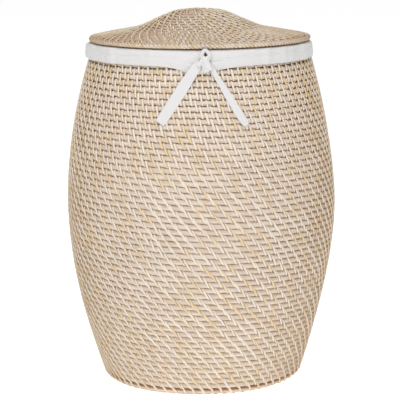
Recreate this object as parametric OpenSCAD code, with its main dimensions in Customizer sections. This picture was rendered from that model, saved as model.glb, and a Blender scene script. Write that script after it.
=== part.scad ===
// Coiled cane laundry basket with a lift-off lid and a drawstring cotton bag.
// The basket stands on z = 0 with its axis on Z. The knot of the bag faces -Y.

/* [Basket wall] */
// Widest outer radius of the wall
belly_r = 223.2; // [200:0.1:240]
// Height of the widest place
belly_z = 299; // [280:1:330]
// How sharply the wall curves in above and below the belly
belly_power = 1.75; // [1.6:0.05:2]
// Outer radius of the wall at the rim
rim_r = 180; // [178:0.1:188]
// Height of the middle of the rim hoop
rim_z = 547; // [546.5:0.5:549]
// Distance from one row of cane to the next
row_pitch = 9.61; // [9.4:0.01:9.65]
// Turns of cane in one length
rows_per_length = 3; // [3:1:3]
// Lengths of cane in the wall
wall_lengths = 19; // [19:1:19]
// Height of the middle of the lowest wall row
first_row_z = 9.5; // [9:0.1:10]

/* [Basket base] */
// Height of the middle of the base rows
base_z = 7.6; // [7:0.1:8]
// Lengths of cane in the base
base_lengths = 3; // [3:1:3]
// Turns of cane in one length of the base
base_rows_per_length = 5; // [5:1:5]
// Radius of the foot hoop's middle line
foot_r = 153.6; // [153.2:0.1:154]
// Height of the foot hoop's middle line, less than its thickness so that it stands flat
foot_z = 4; // [3.8:0.1:4.4]

/* [Rim] */
// Thickness of the round cane inside the rim
rim_cane = 8.4; // [8:0.1:9]
// Thickness of the peel wound round the rim
rim_peel = 1.2; // [0.8:0.1:1.3]

/* [Lid] */
// Height of the lid's flat crown
lid_top_z = 615; // [612:1:620]
// Distance from one row of the lid to the next
lid_pitch = 8.44; // [8.4:0.01:8.46]
// Turns of cane in one length of the lid
lid_rows_per_length = 3; // [3:1:3]
// Lengths of cane in the lid
lid_lengths = 7; // [7:1:7]
// Radius where the crown starts to fall
crown_r = 22; // [15:1:25]
// Width of the shoulder's curve
shoulder_w = 30; // [26:1:34]
// Fall of the lid's slope for each millimetre outwards
slope_fall = 0.44; // [0.4:0.01:0.48]
// Radius where the slope starts to flatten into the brim
brim_start_r = 90; // [85:1:95]
// Width of the curve between slope and brim
brim_curve_w = 22; // [18:1:26]
// Fall of the brim for each millimetre outwards
brim_fall = 0.19; // [0.15:0.01:0.22]
// Radius of the lid border's middle line
border_r = 179.2; // [178:0.1:180]
// Height of the lid border's middle line
border_z = 568.4; // [568:0.1:569]
// Thickness of the lid border with its wrap
border_d = 8; // [7.6:0.1:8.4]
// Radius of the locating ring's middle line
locating_r = 160.5; // [158:0.5:161]
// Height of the locating ring's upper row
locating_z = 562.6; // [562.2:0.1:562.7]

/* [Cotton bag] */
// Thickness of the cloth layers
cloth = 2.5; // [2:0.1:3]
// Outer radius of the bag's straight part
bag_r = 168.6; // [166:0.1:168.8]
// Outer radius of the bag's bottom
bag_bottom_r = 152; // [140:1:154]
// Height of the bag's underside
bag_bottom_z = 12.9; // [12.8:0.1:15]
// Height where the bag starts to narrow downwards
bag_taper_z = 80; // [75:1:120]
// Top of the cuff where it folds over the rim
cuff_top_z = 563.2; // [560:0.1:563.8]
// Inner radius of the turned-down part of the cuff
cuff_drop_r = 184.8; // [184.4:0.1:186]
// Height where the inner side of the cuff meets the side panel
cuff_inner_z = 535; // [530:1:540]
// Height of the casing's lower edge
casing_bottom_z = 538; // [538:0.5:540]
// Height of the hem casing
casing_h = 14; // [13:0.5:14]
// Thickness of the hem casing
casing_t = 3.2; // [3:0.1:4]
// Direction of the side seam, in degrees to the left of the front
seam_angle = 32; // [0:1:60]

/* [Drawstring] */
// Width of the tape
tape_w = 12; // [9:0.5:12]
// Thickness of the tape inside the casing
tape_t = 1.2; // [1:0.1:1.4]
// Width of the left hanging end
left_end_w = 18; // [12:0.5:20]
// Width of the right hanging end
right_end_w = 12; // [8:0.5:14]
// Thickness of the hanging ends
end_t = 2.4; // [2:0.1:3]
// Width of the opening in the casing where the tape comes out
exit_w = 8; // [6:0.5:10]

/* [Hidden] */
wall_rows = wall_lengths * rows_per_length;
wall_names = [for (i = [1:wall_lengths]) str("wall_coil_", i < 10 ? "0" : "", i)];
base_names = [for (i = [1:base_lengths]) str("base_coil_", i)];
lid_names = [for (i = [1:lid_lengths]) str("lid_coil_", i)];

round_fn = 180;
cane_fn = 24;
// Rows of one body keep this much air so that they meet without overlapping
row_gap = 0.06;
cane_r = row_pitch / 2 - row_gap / 2;
lid_cane_r = lid_pitch / 2 - row_gap / 2;
// The lashing that packs the groove between two rows of one length
packing_t = 5;
lid_packing_t = 4;
belly_k = (belly_r - rim_r) / pow(rim_z - belly_z, belly_power);
rim_wrap_r = rim_cane / 2 + rim_peel;
border_cane_r = border_d / 2 - rim_peel;
cane_colour = "tan";
peel_colour = "wheat";
cotton_colour = "white";

// Outer radius of the wall at a height
function wall_r(z) = belly_r - belly_k * pow(abs(z - belly_z), belly_power);
// Radius of the middle of a wall row at a height
function row_r(z) = wall_r(z) - row_pitch / 2;
// Height of the next row: one pitch further along the wall's curve
function wall_slope(z) = (row_r(z + 0.5) - row_r(z - 0.5));
function row_rise(z) = row_pitch / sqrt(1 + pow(wall_slope(z + row_pitch / 2), 2));
function row_heights(z, left) = left == 0 ? [] : concat([z], row_heights(z + row_rise(z), left - 1));
wall_zs = row_heights(first_row_z, wall_rows);
wall_points = [for (z = wall_zs) [row_r(z), z]];

base_rows = base_lengths * base_rows_per_length;
base_points = [for (i = [0:base_rows]) [i * row_pitch, base_z]];

// Integral of a smooth step from 0 to 1
function eased(t) = t < 0 ? 0 : t < 1 ? pow(t, 3) - pow(t, 4) / 2 : t - 0.5;
// Height of the lid's upper face at a radius
function lid_z(r) = lid_top_z - slope_fall * shoulder_w * eased((r - crown_r) / shoulder_w)
    + (slope_fall - brim_fall) * brim_curve_w * eased((r - brim_start_r) / brim_curve_w);
function lid_fall(r) = lid_z(r + 0.5) - lid_z(r - 0.5);
function lid_step(r) = lid_pitch / sqrt(1 + pow(lid_fall(r + lid_pitch / 2), 2));
function lid_radii(r, left) = left == 0 ? [] : concat([r], lid_radii(r + lid_step(r), left - 1));
lid_rows = lid_lengths * lid_rows_per_length;
lid_rs = lid_radii(0, lid_rows + 1);
lid_points = [for (r = lid_rs) [r, lid_z(r) - lid_pitch / 2]];

// Straight piece of a given thickness between two points, ending at their middles
module groove_packing(a, b, t) {
    translate(a)
        rotate(atan2(b[1] - a[1], b[0] - a[0]))
            translate([0, -t / 2])
                square([norm(b - a), t]);
}

// Outline of a run of rows: a round for each row and packing between them
module rows_outline(points, first, count, r, t) {
    for (i = [first:first + count - 1])
        translate(points[i])
            circle(r, $fn = cane_fn);
    for (i = [first:first + count - 2])
        groove_packing(points[i], points[i + 1], t);
}

// Rows turned into rings about the axis
module rows_ring(points, first, count, r, t) {
    rotate_extrude($fn = round_fn)
        rows_outline(points, first, count, r, t);
}

// Round button that a coil starts from
module start_knot(points, r) {
    rotate_extrude($fn = round_fn)
        intersection() {
            union() {
                translate([0, points[0][1] - r])
                    square([r * 0.6, 2 * r]);
                translate([r * 0.6, points[0][1]])
                    circle(r * 0.36, $fn = cane_fn);
                translate([0, points[0][1] - r * 0.36])
                    square([r * 0.6, r * 0.72]);
            }
            translate([0, points[0][1] - r])
                square([2 * r, 2 * r]);
        }
}

module base_start_knot() {
    color(cane_colour)
        start_knot(base_points, cane_r);
}

module base_coil(n) {
    color(cane_colour)
        rows_ring(base_points, 1 + (n - 1) * base_rows_per_length, base_rows_per_length,
            cane_r, packing_t);
}

// Round hoop sanded flat underneath
module foot_hoop() {
    color(cane_colour)
        rotate_extrude($fn = round_fn)
            intersection() {
                translate([foot_r, foot_z])
                    circle(cane_r, $fn = cane_fn);
                translate([foot_r - row_pitch, 0])
                    square([2 * row_pitch, 2 * row_pitch]);
            }
}

module wall_coil(n) {
    color(cane_colour)
        rows_ring(wall_points, (n - 1) * rows_per_length, rows_per_length, cane_r, packing_t);
}

// Round hoop about the axis
module hoop(r, z, hoop_r) {
    rotate_extrude($fn = round_fn)
        translate([r, z])
            circle(hoop_r, $fn = cane_fn);
}

// Skin wound round a hoop
module hoop_wrap(r, z, inner_r, outer_r) {
    rotate_extrude($fn = round_fn)
        translate([r, z])
            difference() {
                circle(outer_r, $fn = cane_fn);
                circle(inner_r, $fn = cane_fn);
            }
}

rim_mid_r = rim_r - rim_wrap_r;

module rim_hoop() {
    color(cane_colour)
        hoop(rim_mid_r, rim_z, rim_cane / 2);
}

module rim_wrap() {
    color(peel_colour)
        hoop_wrap(rim_mid_r, rim_z, rim_cane / 2, rim_wrap_r);
}

// Side panel: straight above, narrower towards the bottom
module bag_side() {
    bottom_z = bag_bottom_z + cloth;
    color(cotton_colour)
        rotate_extrude($fn = round_fn)
            polygon([
                [bag_bottom_r - cloth, bottom_z], [bag_bottom_r, bottom_z],
                [bag_r, bag_taper_z], [bag_r, cuff_inner_z],
                [bag_r - cloth, cuff_inner_z], [bag_r - cloth, bag_taper_z]]);
}

module bag_bottom() {
    color(cotton_colour)
        translate([0, 0, bag_bottom_z])
            cylinder(h = cloth, r = bag_bottom_r, $fn = round_fn);
}

seam_h = 6;
seam_t = 2;
seam_gap = 0.1;
seam_in = 0.9;

// Upstanding seam allowance inside the bottom edge
module bag_bottom_seam() {
    outer_r = bag_bottom_r - cloth - seam_gap;
    color(cotton_colour)
        translate([0, 0, bag_bottom_z + cloth])
            rotate_extrude($fn = round_fn)
                translate([outer_r - seam_t, 0])
                    square([seam_t, seam_h]);
}

seam_w = 12;
seam_strip_t = 1.2;

// Curved strip that covers part of a cylinder at the seam's direction
module seam_strip(inner_r, z0, z1) {
    sweep = seam_w / inner_r * 180 / PI;
    rotate([0, 0, -90 - seam_angle - sweep / 2])
        rotate_extrude(angle = sweep, $fn = round_fn)
            translate([inner_r, z0])
                square([seam_strip_t, z1 - z0]);
}

module bag_side_seam() {
    color(cotton_colour)
        seam_strip(bag_r - cloth - seam_gap - seam_strip_t, bag_taper_z, cuff_inner_z);
}

fold_r = 8;

// Box with two rounded upper corners
module arch(r0, r1, z0, z1, corner) {
    translate([r0, z0])
        square([r1 - r0, z1 - corner - z0]);
    translate([r0 + corner, z1 - corner - 0.01])
        square([r1 - r0 - 2 * corner, corner + 0.01]);
    for (r = [r0 + corner, r1 - corner])
        translate([r, z1 - corner])
            circle(corner, $fn = cane_fn * 2);
}

// Cuff folded over the rim: short side inside, longer side outside
module cuff() {
    casing_top = casing_bottom_z + casing_h;
    outer_r = cuff_drop_r + cloth;
    color(cotton_colour)
        rotate_extrude($fn = round_fn)
            difference() {
                arch(bag_r - cloth, outer_r, cuff_inner_z, cuff_top_z, fold_r);
                arch(bag_r, cuff_drop_r, cuff_inner_z - 1, cuff_top_z - cloth, fold_r - cloth);
                translate([cuff_drop_r - 1, cuff_inner_z - 1])
                    square([cloth + 2, casing_top - cuff_inner_z + 1]);
            }
}

exit_depth = 30;

// Cuts the opening where the tape comes out
module with_tape_exit() {
    difference() {
        children();
        translate([knot_x - exit_w / 2, -cuff_drop_r - exit_depth, casing_bottom_z - 1])
            cube([exit_w, 2 * exit_depth, casing_h + 2]);
    }
}

// Join of the cuff, standing proud of the casing
module cuff_seam() {
    color(cotton_colour)
        seam_strip(casing_outer_r, casing_bottom_z + 1, casing_bottom_z + casing_h - 1);
}

channel_t = tape_t + 0.4;
channel_h = tape_w + 0.6;

// Flat tube along the cuff's lower edge
module hem_casing() {
    mid_r = cuff_drop_r + casing_t / 2;
    color(cotton_colour)
        with_tape_exit()
            rotate_extrude($fn = round_fn)
                difference() {
                    translate([cuff_drop_r, casing_bottom_z])
                        square([casing_t, casing_h]);
                    translate([mid_r - channel_t / 2, casing_bottom_z + (casing_h - channel_h) / 2])
                        square([channel_t, channel_h]);
                }
}

module drawstring() {
    mid_r = cuff_drop_r + casing_t / 2;
    color(cotton_colour)
        with_tape_exit()
            rotate_extrude($fn = round_fn)
                translate([mid_r - tape_t / 2, casing_bottom_z + (casing_h - tape_w) / 2])
                    square([tape_t, tape_w]);
}

// Middle of the knot, in front of the casing
knot_x = 9;
knot_z = 540.5;
knot_half_w = 8;
knot_half_h = 10.5;
// Half of its depth
knot_r = 4.4;
// Roundings of the knot seen from the front and from above
knot_corner_r = 4.4;
knot_edge_r = 3;
// Air between the casing and what hangs in front of it
front_gap = 1;
casing_outer_r = cuff_drop_r + casing_t;
knot_y = -(casing_outer_r + front_gap + knot_r);

// Box about the origin with four rounded corners
module rounded_box(half_w, half_h, corner) {
    square([2 * (half_w - corner), 2 * half_h], center = true);
    square([2 * half_w, 2 * (half_h - corner)], center = true);
    for (side = [-1, 1], up = [-1, 1])
        translate([side * (half_w - corner), up * (half_h - corner)])
            circle(corner, $fn = cane_fn * 2);
}

// Lump tied from the tape: rounded seen from the front and seen from above
module knot() {
    color(cotton_colour)
        translate([knot_x, knot_y, knot_z])
            intersection() {
                translate([0, knot_r, 0])
                    rotate([90, 0, 0])
                        linear_extrude(2 * knot_r)
                            rounded_box(knot_half_w, knot_half_h, knot_corner_r);
                translate([0, 0, -knot_half_h])
                    linear_extrude(2 * knot_half_h)
                        rounded_box(knot_half_w, knot_r, knot_edge_r);
            }
}

loop_half_w = 5.4;
loop_tape_r = 1.5;
loop_x = knot_x;
loop_straight_h = 8.5;
loop_foot_z = knot_z + knot_half_h + 0.2;
loop_y = -(casing_outer_r + front_gap + loop_tape_r);

// Narrow loop that stands above the knot
module knot_loop() {
    color(cotton_colour)
        translate([loop_x, loop_y, loop_foot_z]) {
            for (side = [-1, 1])
                translate([side * loop_half_w, 0, 0])
                    cylinder(h = loop_straight_h, r = loop_tape_r, $fn = cane_fn);
            translate([0, 0, loop_straight_h])
                rotate([90, 0, 0])
                    rotate_extrude(angle = 180, $fn = 48)
                        translate([loop_half_w, 0])
                            circle(loop_tape_r, $fn = cane_fn);
        }
}

// Middle line of a hanging end: across and up, in front of the casing and then along the wall
left_route = [[-8, 536], [-14, 526], [-20, 516], [-33, 496], [-48, 473], [-63, 450]];
right_route = [[21, 530], [29, 517], [40, 499], [51, 481], [62, 463], [73, 446]];
end_sides = 8;
// Height above which an end leans away from the wall
lean_out_z = 505;

// Radius of the surface that an end lies on, easing out from the wall to the casing's face
function lie_r(z) = let (t = min(max((z - lean_out_z) / (casing_bottom_z - lean_out_z), 0), 1))
    wall_r(z) + t * t * (3 - 2 * t) * (casing_outer_r - wall_r(casing_bottom_z));
function on_wall(p, lift) = let (r = lie_r(p[1]) + lift) [p[0], -sqrt(r * r - p[0] * p[0]), p[1]];
function unit(v) = v / norm(v);
function route_points(route) = [for (p = route) on_wall(p, end_t / 2 + front_gap)];
function tangent(points, i) =
    unit(points[min(i + 1, len(points) - 1)] - points[max(i - 1, 0)]);
// Outward direction of the wall at a point
function outward(p) = unit([p[0], p[1], 0]);
function ring(points, i, w, t) =
    let (
        along = tangent(points, i),
        flat = unit(cross(along, outward(points[i]))),
        out = cross(flat, along))
    [for (k = [0:end_sides - 1])
        let (a = 360 * (k + 0.5) / end_sides)
        points[i] + flat * cos(a) * w / 2 + out * sin(a) * t / 2];

// Flat tape lying along the wall
module tape_end(route, w) {
    points = route_points(route);
    n = len(points);
    verts = [for (i = [0:n - 1]) each ring(points, i, w, end_t)];
    sides = [for (i = [0:n - 2], k = [0:end_sides - 1])
        let (a = i * end_sides + k, b = i * end_sides + (k + 1) % end_sides)
        each [[a, a + end_sides, b], [b, a + end_sides, b + end_sides]]];
    first_cap = [[for (k = [0:end_sides - 1]) k]];
    last_cap = [[for (k = [end_sides - 1:-1:0]) (n - 1) * end_sides + k]];
    polyhedron(verts, concat(sides, first_cap, last_cap));
}

module string_end_left() {
    color(cotton_colour)
        tape_end(left_route, left_end_w);
}

module string_end_right() {
    color(cotton_colour)
        tape_end(right_route, right_end_w);
}

module lid_start_knot() {
    color(cane_colour)
        start_knot(lid_points, lid_cane_r);
}

module lid_coil(n) {
    color(cane_colour)
        rows_ring(lid_points, 1 + (n - 1) * lid_rows_per_length, lid_rows_per_length,
            lid_cane_r, lid_packing_t);
}

module lid_border_hoop() {
    color(cane_colour)
        hoop(border_r, border_z, border_cane_r);
}

module lid_border_wrap() {
    color(peel_colour)
        hoop_wrap(border_r, border_z, border_cane_r, border_d / 2);
}

// Two rows under the brim that drop into the mouth
module lid_locating_ring() {
    points = [[locating_r, locating_z], [locating_r, locating_z - lid_pitch]];
    color(cane_colour)
        rows_ring(points, 0, 2, lid_cane_r, lid_packing_t);
}

base_start_knot();
for (i = [1:base_lengths]) base_coil(i);
foot_hoop();
for (i = [1:wall_lengths]) wall_coil(i);
rim_hoop();
rim_wrap();
bag_side();
bag_bottom();
bag_bottom_seam();
bag_side_seam();
cuff();
cuff_seam();
hem_casing();
drawstring();
knot();
knot_loop();
string_end_left();
string_end_right();
lid_start_knot();
for (i = [1:lid_lengths]) lid_coil(i);
lid_border_hoop();
lid_border_wrap();
lid_locating_ring();
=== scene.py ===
"""Coiled cane laundry basket with a lift-off lid and a cotton bag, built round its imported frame."""

import math

import bpy
import numpy as np
from bpy.props import FloatProperty, FloatVectorProperty, IntProperty, PointerProperty
from mathutils import Matrix, Vector


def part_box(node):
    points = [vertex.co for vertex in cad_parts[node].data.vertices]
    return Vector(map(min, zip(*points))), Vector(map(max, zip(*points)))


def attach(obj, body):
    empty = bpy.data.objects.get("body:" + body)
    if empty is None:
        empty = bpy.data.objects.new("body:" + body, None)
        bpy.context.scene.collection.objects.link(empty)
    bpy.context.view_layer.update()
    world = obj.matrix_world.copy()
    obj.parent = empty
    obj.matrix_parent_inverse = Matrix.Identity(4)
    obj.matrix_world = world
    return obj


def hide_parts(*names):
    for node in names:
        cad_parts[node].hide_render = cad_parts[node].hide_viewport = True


bl_info = {
    "name": "Coiled laundry basket",
    "version": (1, 0, 0),
    "blender": (4, 5, 0),
    "location": "3D View > Sidebar > Basket",
    "description": "Builds a coiled cane laundry basket, its lid and its cotton bag",
    "category": "Add Mesh",
}

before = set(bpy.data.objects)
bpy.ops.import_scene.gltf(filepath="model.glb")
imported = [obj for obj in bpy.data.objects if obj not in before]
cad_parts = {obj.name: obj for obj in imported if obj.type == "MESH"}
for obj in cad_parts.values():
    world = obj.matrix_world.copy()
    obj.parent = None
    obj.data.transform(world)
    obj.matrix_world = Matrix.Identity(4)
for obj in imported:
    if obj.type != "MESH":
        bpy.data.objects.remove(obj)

TAU = 2 * math.pi
MM = 0.001
WALL_NODES = sorted(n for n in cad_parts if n.startswith("wall_coil_"))
BASE_NODES = sorted(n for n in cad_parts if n.startswith("base_coil_"))
LID_NODES = sorted(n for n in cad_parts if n.startswith("lid_coil_"))


# Sizes that the frame gives

def box(node):
    """Lowest and highest corner of a CAD node, as arrays."""
    low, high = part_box(node)
    return np.array(low), np.array(high)


def half_width(node):
    """Outer radius of a node that goes round the axis."""
    low, high = box(node)
    return (high[0] - low[0]) / 2


def middle_z(node):
    """Height halfway up a node."""
    low, high = box(node)
    return (high[2] + low[2]) / 2


def height(node):
    """How tall a node is."""
    low, high = box(node)
    return high[2] - low[2]


BASE_PITCH = (half_width(BASE_NODES[-1]) - half_width(BASE_NODES[0])) / (5 * (len(BASE_NODES) - 1))
CANE_R = height(BASE_NODES[0]) / 2
RIM_R = half_width("rim_wrap")
RIM_Z = middle_z("rim_wrap")
BELLY_R = max(half_width(n) for n in WALL_NODES)
CUFF_TOP = box("cuff")[1][2]
HEM_LOW = box("hem_casing")[0][2]
HEM_TOP = box("hem_casing")[1][2]
HEM_R = half_width("hem_casing")
BAG_R = half_width("bag_side")
KNOT_LOW, KNOT_HIGH = box("knot")
KNOT = (KNOT_LOW + KNOT_HIGH) / 2
LID_TOP = box("lid_start_knot")[1][2]


# Settings that a user would change

class BasketSizes(bpy.types.PropertyGroup):
    """Sizes of the coiled wall and base."""

    belly_z: FloatProperty(
        name="Belly height", description="Height of the widest place", default=0.299, unit="LENGTH")
    belly_power: FloatProperty(
        name="Belly curve", description="How sharply the wall curves in", default=1.75)
    first_row_z: FloatProperty(
        name="First row", description="Height of the lowest wall row", default=0.0095, unit="LENGTH")
    rows_in_length: IntProperty(
        name="Turns in a length", description="Turns of cane in one wall length", default=3)
    base_rows_in_length: IntProperty(
        name="Base turns", description="Turns of cane in one base length", default=5)
    pressed: FloatProperty(
        name="Pressed", description="How far two rows of cane press into each other",
        default=0.0006, unit="LENGTH")
    peel_width: FloatProperty(
        name="Peel width", description="Width of the lashing peel", default=0.0038, unit="LENGTH")
    peel_thickness: FloatProperty(
        name="Peel thickness", description="Thickness of the peel", default=0.0012, unit="LENGTH")
    base_spacing: FloatProperty(
        name="Base spacing", description="Widest space between base lashings", default=0.016,
        unit="LENGTH")
    wall_spacing: FloatProperty(
        name="Wall spacing", description="Widest space between wall lashings", default=0.0194,
        unit="LENGTH")
    lean: FloatProperty(
        name="Lean", description="Slant of a lashing from upright", default=math.radians(27),
        subtype="ANGLE")
    rim_lean: FloatProperty(
        name="Lean at the rim", description="Slant of a lashing just under the rim",
        default=math.radians(8), subtype="ANGLE")
    waver: FloatProperty(
        name="Unevenness", description="How far the rows wander", default=0.0007, unit="LENGTH")


class LidSizes(bpy.types.PropertyGroup):
    """Sizes of the coiled lid."""

    rows_in_length: IntProperty(
        name="Turns in a length", description="Turns of cane in one lid length", default=3)
    crown_r: FloatProperty(
        name="Crown", description="Radius where the crown starts to fall", default=0.022,
        unit="LENGTH")
    shoulder_w: FloatProperty(
        name="Shoulder", description="Width of the shoulder's curve", default=0.030, unit="LENGTH")
    slope_fall: FloatProperty(name="Slope", description="Fall of the slope", default=0.44)
    brim_start_r: FloatProperty(
        name="Brim", description="Radius where the brim starts", default=0.090, unit="LENGTH")
    brim_curve_w: FloatProperty(
        name="Brim curve", description="Width of the curve into the brim", default=0.022,
        unit="LENGTH")
    brim_fall: FloatProperty(name="Brim fall", description="Fall of the brim", default=0.19)
    spacing: FloatProperty(
        name="Spacing", description="Widest space between lashings at the crown", default=0.0125,
        unit="LENGTH")
    spacing_growth: FloatProperty(
        name="Spacing growth", description="How much wider the space is for each metre outwards",
        default=0.025)
    lean: FloatProperty(
        name="Lean", description="Slant of a lashing", default=math.radians(24), subtype="ANGLE")
    cane_share: FloatProperty(
        name="Cane share", description="Thickness of the cane in row spacings", default=0.76)
    # Lower values spread the unwashed cane and the painted shade in the grooves further up the sides of
    # the lid's cane.
    washed: FloatProperty(
        name="Washed", description="How far the wash reaches down the sides of the cane, and so where the painted shade in the grooves starts",
        default=0.60)
    border_spacing: FloatProperty(
        name="Border spacing", description="Space between turns of the border's wrap",
        default=0.0068, unit="LENGTH")
    border_slant: FloatProperty(
        name="Border slant", description="Slant of the border's wrap from upright",
        default=math.radians(40), subtype="ANGLE")


class CottonSizes(bpy.types.PropertyGroup):
    """Sizes of the cotton bag and its drawstring."""

    fold_depth: FloatProperty(
        name="Folds", description="Depth of the cuff's gathers", default=0.0011, unit="LENGTH")
    tape_thickness: FloatProperty(
        name="Tape", description="Thickness of the hanging ends", default=0.0022, unit="LENGTH")


class FinishColours(bpy.types.PropertyGroup):
    """Colours of the finishes."""

    cane: FloatVectorProperty(
        name="Cane", description="Whitewashed round cane", subtype="COLOR", size=3,
        default=(0.645, 0.530, 0.440), min=0, max=1)
    cane_pale: FloatVectorProperty(
        name="Pale cane", description="Cane where the wash is thick", subtype="COLOR", size=3,
        default=(0.765, 0.685, 0.610), min=0, max=1)
    peel: FloatVectorProperty(
        name="Peel", description="Lashing peel", subtype="COLOR", size=3,
        default=(0.810, 0.720, 0.590), min=0, max=1)
    peel_golden: FloatVectorProperty(
        name="Golden peel", description="The few golden peels", subtype="COLOR", size=3,
        default=(0.740, 0.560, 0.320), min=0, max=1)
    # Groove colour: the cane that the wash misses, with painted shade between the rows; also the dark
    # grain streaks.
    groove_unwashed_and_shade: FloatVectorProperty(
        name="Groove", description="Unwashed cane and painted shade in the grooves", subtype="COLOR", size=3,
        default=(0.330, 0.165, 0.075), min=0, max=1)
    # Painted shade: tan mixed in where a surface turns away from the eye, darker towards the basket's
    # sides.
    side_shade: FloatVectorProperty(
        name="Side shade", description="Tan painted shade where the surface turns from the eye", subtype="COLOR", size=3,
        default=(0.500, 0.350, 0.210), min=0, max=1)
    cotton: FloatVectorProperty(
        name="Cotton", description="White cotton", subtype="COLOR", size=3,
        default=(0.700, 0.692, 0.688), min=0, max=1)


class StageSizes(bpy.types.PropertyGroup):
    """Camera, lights and floor."""

    camera_distance: FloatProperty(
        name="Distance", description="From the axis to the camera", default=2.821, unit="LENGTH")
    camera_height: FloatProperty(
        name="Height", description="Height of the camera", default=0.80, unit="LENGTH")
    camera_pitch: FloatProperty(
        name="Pitch", description="How far the camera looks down", default=math.radians(10.199),
        subtype="ANGLE")
    camera_roll: FloatProperty(
        name="Roll", description="Lean of the camera", default=0.008, subtype="ANGLE")
    camera_shift: FloatVectorProperty(
        name="Shift", description="Shift of the picture in frame widths", size=2,
        default=(-0.0025, 0.0025))
    focal_width: FloatProperty(
        name="Focal length", description="Focal length in frame widths", default=4.25)
    floor_size: FloatProperty(
        name="Floor", description="Half width of the floor", default=40.0, unit="LENGTH")
    floor_glow: FloatProperty(
        name="Floor glow", description="Light that the floor gives off", default=0.74)
    sky: FloatProperty(name="Sky", description="Strength of the even light", default=0.26)
    key_power: FloatProperty(
        name="Key light", description="Power of the front light", default=43.0, unit="POWER")
    fill_power: FloatProperty(
        name="Fill light", description="Power of the top light", default=44.0, unit="POWER")


# Meshes

def unit(v):
    """Vectors scaled to length one."""
    return v / np.linalg.norm(v, axis=-1, keepdims=True)


def round_axis(radius, angle, z):
    """Points at a radius from the axis: the angle runs from the front round to the right."""
    radius, angle, z = np.broadcast_arrays(radius, angle, z)
    return np.stack([radius * np.sin(angle), -radius * np.cos(angle), z], axis=-1)


def grid_quads(rows, columns, wrap_rows, wrap_columns):
    """Quads between neighbouring points of a grid; a wrapped direction closes on itself."""
    i, j = np.meshgrid(
        np.arange(rows if wrap_rows else rows - 1),
        np.arange(columns if wrap_columns else columns - 1), indexing="ij")
    k, l = (i + 1) % rows, (j + 1) % columns
    return np.stack([i * columns + j, i * columns + l, k * columns + l, k * columns + j],
                    axis=-1).reshape(-1, 4)


def grid_uv(u, v):
    """Corner coordinates of a grid's quads from the lengths along its two directions."""
    corners = [(u[:-1], v[:-1]), (u[:-1], v[1:]), (u[1:], v[1:]), (u[1:], v[:-1])]
    return np.stack([np.stack(np.meshgrid(a, b, indexing="ij"), axis=-1) for a, b in corners],
                    axis=2).reshape(-1, 4, 2)


def volume(points, quads):
    """Six times the volume inside closed quads: positive when they face outwards."""
    a, b, c, d = (points[quads[:, i]] - points.mean(axis=0) for i in range(4))
    return float((np.cross(a, b) * c).sum() + (np.cross(a, c) * d).sum())


class Surface:
    """Points, faces and what is painted on them, gathered grid by grid into one piece."""

    def __init__(self):
        self.points, self.faces, self.uvs, self.tones, self.crests = [], [], [], [], []
        self.count = 0

    def add_grid(self, points, wrap_rows=True, wrap_columns=True, u=None, v=None, tone=0.5,
                 crest=1.0, folded=False):
        """Adds a grid of points, shape (rows, columns, 3), turned so that it faces outwards.

        Rows that don't wrap get a fan of triangles to a middle point at each end, or where the
        columns run out along one face of a cloth and back along the other, a strip of quads."""
        rows, columns = points.shape[:2]
        flat = points.reshape(-1, 3)
        quads = grid_quads(rows, columns, wrap_rows, wrap_columns)
        u = np.arange(rows + wrap_rows) * MM if u is None else u
        v = np.arange(columns + wrap_columns) * MM if v is None else v
        uv = grid_uv(u, v)
        faces, face_uvs = [quads], [uv]
        extra = []
        if not wrap_rows and folded:
            there = np.arange(columns // 2 - 1)
            back = columns - 1 - there
            strip = np.stack([there, there + 1, back - 1, back], axis=-1)
            faces += [strip[:, ::-1], strip + (rows - 1) * columns]
            face_uvs += [np.full((len(strip), 4, 2), (u[row], v[0])) for row in (0, rows - 1)]
        elif not wrap_rows:
            ring = np.arange(columns)
            after = (ring + 1) % columns
            for row, flip in ((0, True), (rows - 1, False)):
                middle = len(flat) + len(extra)
                extra.append(points[row].mean(axis=0))
                tri = np.stack([row * columns + ring, row * columns + after,
                                np.full(columns, middle)], axis=-1)
                faces.append(tri[:, ::-1] if flip else tri)
                face_uvs.append(np.full((columns, 3, 2), (u[row], v[0])))
        every = np.concatenate([flat, np.array(extra).reshape(-1, 3)])
        if volume(every, quads) < 0:
            faces = [f[:, ::-1] for f in faces]
            face_uvs = [f[:, ::-1] for f in face_uvs]
        self.points.append(every)
        self.faces += [f + self.count for f in faces]
        self.uvs += face_uvs
        for store, value in ((self.tones, tone), (self.crests, crest)):
            spread = np.broadcast_to(value, (rows, columns)).reshape(-1)
            store.append(np.concatenate([spread, np.full(len(extra), float(spread.mean()))]))
        self.count += len(every)

    def build(self, name, material, slot, body):
        """The finished piece: a smooth mesh with its UV map and paint, riding on its body."""
        mesh = bpy.data.meshes.new(name)
        points = np.concatenate(self.points)
        mesh.vertices.add(len(points))
        mesh.vertices.foreach_set("co", points.astype(np.float32).ravel())
        sizes = np.concatenate([np.full(len(f), f.shape[1]) for f in self.faces])
        corners = np.concatenate([f.ravel() for f in self.faces])
        mesh.loops.add(len(corners))
        mesh.loops.foreach_set("vertex_index", corners.astype(np.int32))
        mesh.polygons.add(len(sizes))
        mesh.polygons.foreach_set("loop_start", (np.cumsum(sizes) - sizes).astype(np.int32))
        mesh.polygons.foreach_set("use_smooth", np.ones(len(sizes), dtype=bool))
        mesh.update(calc_edges=True)
        layer = mesh.uv_layers.new(name="UVMap")
        uv = np.concatenate([f.reshape(-1, 2) for f in self.uvs])
        layer.data.foreach_set("uv", uv.astype(np.float32).ravel())
        for label, values in (("tone", self.tones), ("crest", self.crests)):
            paint = mesh.attributes.new(label, "FLOAT", "POINT")
            paint.data.foreach_set("value", np.concatenate(values).astype(np.float32))
        if mesh.validate():
            raise RuntimeError(f"{name}: the mesh had faces that don't hold")
        mesh.materials.append(material)
        piece = bpy.data.objects.new(name, mesh)
        bpy.context.scene.collection.objects.link(piece)
        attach(piece, body)
        return piece


# Rows of cane and their lashing

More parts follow.
